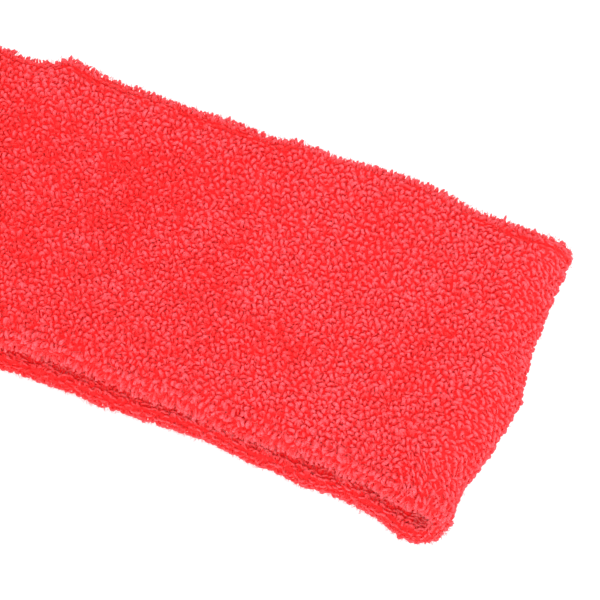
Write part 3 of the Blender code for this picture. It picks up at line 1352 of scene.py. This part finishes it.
@dataclass
class RoundThread:
    """Threads that run once round the loop inside the panel, twisted from one or more strands."""

    name: str
    skin: Skin
    y: float
    strand_radius: float
    strands: int = 1
    twist_radius: float = 0.0
    twist_pitch: float = 2.0 * MM
    steps: int = 260
    sides: int = 6

    def build(self, finish: bpy.types.Material) -> bpy.types.Object:
        """Make the thread's closed strands.

        Args:
            finish: The thread's material.

        Returns:
            The finished piece.
        """
        length = self.skin.band.sizes.round_length
        turns = round(length / self.twist_pitch)
        i, j = np.meshgrid(np.arange(self.steps), np.arange(self.sides), indexing="ij")
        s = i * length / self.steps
        around = 2 * math.pi * j / self.sides
        points, faces, places = [], [], []
        for strand in range(self.strands):
            phase = 2 * math.pi * (turns * i / self.steps + strand / self.strands)
            y = self.y + self.twist_radius * np.cos(phase) + self.strand_radius * np.cos(around)
            depth = self.twist_radius * np.sin(phase) - self.strand_radius * np.sin(around)
            points.append(self.skin.band.point(s, y, depth).reshape(-1, 3))
            a, b = i.ravel(), j.ravel()
            a2, b2 = (a + 1) % self.steps, (b + 1) % self.sides
            ring = np.stack([a * self.sides + b, a * self.sides + b2, a2 * self.sides + b2, a2 * self.sides + b], 1)
            faces.append(ring + strand * self.steps * self.sides)
            low, high = a * length / self.steps, (a + 1) * length / self.steps
            near, far = b / self.sides, (b + 1) / self.sides
            corners = [(low, near), (low, far), (high, far), (high, near)]
            places.append(np.stack([np.stack(corner, -1) for corner in corners], axis=1))
        piece = mesh_object(self.name, np.concatenate(points), np.concatenate(faces))
        corner_map(piece, "yarn", np.concatenate(places))
        piece.data.materials.append(finish)
        return piece


# ---------------------------------------------------------------------------------------------- the studio


@dataclass
class Studio:
    """A white table, soft light and the camera."""

    sizes: BandSizes
    azimuth: float = 22.3                # degrees from straight ahead towards the band's right end
    elevation: float = 65.0
    distance: float = 0.42
    field_width: float = 0.1035          # what the frame takes in at the target
    aim: tuple[float, float, float] = (0.0503, 0.0018, 0.0080)

    def build(self) -> None:
        """Make the floor, the lights, the world and the camera."""
        self._floor()
        self._light("front_softbox", (0.30, -0.50, 0.70), 0.8, 6.4)
        self._light("overhead_softbox", (-0.20, 0.25, 0.80), 0.9, 2.3)
        self._world()
        self._camera()
        scene = bpy.context.scene
        scene.view_settings.view_transform = "Standard"
        scene.cycles.diffuse_bounces = 12

    def _floor(self) -> None:
        """Lay the table top."""
        deselect_all()
        bpy.ops.mesh.primitive_grid_add(x_subdivisions=8, y_subdivisions=8, size=4.0, location=(0.0, 0.0, 0.0))
        floor = bpy.context.active_object
        floor.name = "table_top"
        floor.data.materials.append(FloorFinish().material())

    def _light(self, name: str, place: tuple[float, float, float], size: float, power: float) -> None:
        """Hang one square softbox that faces the band."""
        data = bpy.data.lights.new(name, "AREA")
        data.shape = "SQUARE"
        data.size = size
        data.energy = power
        lamp = bpy.data.objects.new(name, data)
        lamp.location = place
        lamp.rotation_euler = (Vector((0.0, 0.0, 0.0)) - Vector(place)).to_track_quat("-Z", "Y").to_euler()
        bpy.context.scene.collection.objects.link(lamp)

    def _world(self) -> None:
        """Give the room its even white light."""
        world = bpy.data.worlds.new("white_room")
        world.use_nodes = True
        background = world.node_tree.nodes["Background"]
        background.inputs["Color"].default_value = (1.0, 1.0, 1.0, 1.0)
        background.inputs["Strength"].default_value = 0.765
        bpy.context.scene.world = world

    def _camera(self) -> None:
        """Set the camera up over the band's near right corner."""
        data = bpy.data.cameras.new("camera")
        data.sensor_width = 36.0
        data.lens = data.sensor_width * self.distance / self.field_width
        data.clip_start = 0.01
        camera = bpy.data.objects.new("camera", data)
        turn, rise = math.radians(self.azimuth), math.radians(self.elevation)
        away = Vector((math.sin(turn) * math.cos(rise), -math.cos(turn) * math.cos(rise), math.sin(rise)))
        target = Vector(self.aim)
        camera.location = target + away * self.distance
        camera.rotation_euler = (-away).to_track_quat("-Z", "Y").to_euler()
        bpy.context.scene.collection.objects.link(camera)
        bpy.context.scene.camera = camera


# ---------------------------------------------------------------------------------------------- the headband


@dataclass
class Headband:
    """The whole band: ground plies, pile, seam chain and elastic threads."""

    sizes: BandSizes
    yarn_radius: float = 0.25 * MM
    elastic_count: int = 12
    seam_inset: float = 0.3 * MM         # how far inside its node's line the seam thread is laid
    side_band: float = 9 * MM            # width of the inner face's two side zones

    def build(self) -> None:
        """Make and dress every piece."""
        self.band = LyingBand(self.sizes)
        self.skin = Skin(self.band)
        outer, inner = self._plies()
        self._threads()
        outer_pile, inner_pile = self._pile()
        for piece in Fuzz(self.skin, FuzzFinish("loose_fibres").material()).build():
            self._carry(piece)
            outer_pile.append(piece)

    def _carry(self, piece: bpy.types.Object, nodes: Sequence[str] = ()) -> None:
        """Let a piece ride on the band's body and stand for its nodes."""
        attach(piece, BODY)
        if nodes:
            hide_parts(*nodes)
        log.info("%s: %d faces", piece.name, len(piece.data.polygons))

    def _plies(self) -> tuple[bpy.types.Object, bpy.types.Object]:
        """Make the two ground plies."""
        split = self.skin.rim_steps // 2 + self.skin.face_steps + self.skin.rim_steps
        end = len(self.skin.w_places)
        pieces, cuts = [], []
        for side, slot, first, last in (("outer", Slot.OUTER_TERRY, 0, split), ("inner", Slot.INNER_TERRY, split, end)):
            ply = GroundPly(f"{side}_ground_cloth", GroundFinish(f"{side}_ground"), self.skin, first, last)
            pieces.append(ply.build())
            cuts.append(ply.cut_size())
            self._carry(pieces[-1], [f"{side}_terry_wall"])
        self.outer_cut, self.inner_cut = cuts
        return pieces[0], pieces[1]

    def _threads(self) -> None:
        """Make the seam thread and the covered elastic threads, each where its node runs."""
        cotton = ThreadFinish("seam_cotton", (0.62, 0.010, 0.014), (0.90, 0.035, 0.042)).material()
        covering = ThreadFinish("elastic_covering", (0.55, 0.42, 0.40), (0.86, 0.80, 0.78), turns=900.0).material()
        low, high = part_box("rim_seam_thread")
        radius = (high.y - low.y) / 2
        seam = RoundThread("seam_thread", self.skin, (low.y + high.y) / 2 - self.seam_inset, radius * 0.52, 2,
                           radius * 0.48, steps=1500, sides=5)
        self._carry(seam.build(cotton), ["rim_seam_thread"])
        for number in range(1, self.elastic_count + 1):
            node = f"elastic_thread_{number:02d}"
            low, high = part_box(node)
            thread = RoundThread(f"covered_elastic_{number:02d}", self.skin, (low.y + high.y) / 2,
                                 (high.y - low.y) / 2)
            self._carry(thread.build(covering), [node])

    def _pile(self) -> tuple[list[bpy.types.Object], list[bpy.types.Object]]:
        """Make the pile of every zone and return the pieces on the outer and on the inner ply."""
        skin = self.skin
        makers = {detail: LoopMaker(self.yarn_radius, detail) for detail in Detail}
        near = self.side_band
        rim = skin.quarter
        outer_zones = [
            PileZone("front_pile", rim * 0.7, skin.fold_start, Detail.FINE, 101, wale_pitch=1.23 * MM,
                     course_pitch=1.01 * MM, size=1.09, loop_span=0.68 * MM, room=1.04 * MM, pushes=24,
                     lean_high=26.0, stray=0.55, flow=5 * MM, front_only=True),
            PileZone("front_under_pile", rim * 0.7, skin.fold_start, Detail.COARSE, 111, wale_pitch=1.06 * MM,
                     course_pitch=0.92 * MM, stretch=1.25, tall=0.62, crown=0.72, tint=0.40,
                     lean_low=20.0, lean_high=48.0, front_only=True),
            PileZone("back_pile", rim * 0.7, skin.fold_start, Detail.COARSE, 102, wale_pitch=1.25 * MM,
                     course_pitch=1.0 * MM, stretch=1.25, front_only=False),
            # the seamed rim's loops start paler: painted light along that rim
            PileZone("seamed_rim_pile", -rim * 0.8, rim * 0.7, Detail.MEDIUM, 103, wale_pitch=0.80 * MM,
                     course_pitch=0.52 * MM, tint=0.6, stray=0.9, fringe=0.66),
            PileZone("folded_rim_pile", skin.fold_start, skin.fold_end, Detail.MEDIUM, 104, wale_pitch=1.05 * MM,
                     course_pitch=0.75 * MM),
        ]
        inner_zones = [
            PileZone("inner_folded_side_pile", skin.fold_end, skin.fold_end + near, Detail.MEDIUM, 105,
                     wale_pitch=1.25 * MM, course_pitch=0.92 * MM, tint=0.42, comb=0.97, stray=0.15, jitter=0.10,
                     tall=0.85, stretch=1.5, pushes=0),
            PileZone("inner_seamed_side_pile", skin.fold_end + skin.face - near,
                     skin.section_length - rim * 0.8, Detail.COARSE, 106, tint=0.42, comb=0.95, stray=0.15,
                     jitter=0.12, pushes=0),
            PileZone("inner_middle_pile", skin.fold_end + near, skin.fold_end + skin.face - near, Detail.COARSE, 107,
                     wale_pitch=1.6 * MM, course_pitch=1.3 * MM, stretch=1.3, tint=0.35),
        ]
        outer_yarn = PileFinish("outer_pile_yarn").material()
        inner_yarn = PileFinish("inner_pile_yarn", pale=(0.98, 0.105, 0.118)).material()
        sides = [(outer_zones, outer_yarn, Slot.OUTER_TERRY), (inner_zones, inner_yarn, Slot.INNER_TERRY)]
        results: list[list[bpy.types.Object]] = []
        for zones, yarn, slot in sides:
            made = [piece for zone in zones for piece in Pile(zone, skin, yarn, makers[zone.detail]).build()]
            for piece in made:
                self._carry(piece)
            results.append(made)
        return results[0], results[1]


def main() -> None:
    """Load the frame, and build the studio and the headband."""
    logging.basicConfig(level=logging.INFO, format="%(name)s: %(message)s")
    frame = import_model()
    sizes = BandSizes.from_frame()
    log.info("band %.1f x %.1f x %.1f mm", sizes.length / MM, sizes.width / MM, sizes.height / MM)
    Studio(sizes).build()
    Headband(sizes).build()


if __name__ == "__main__":
    main()
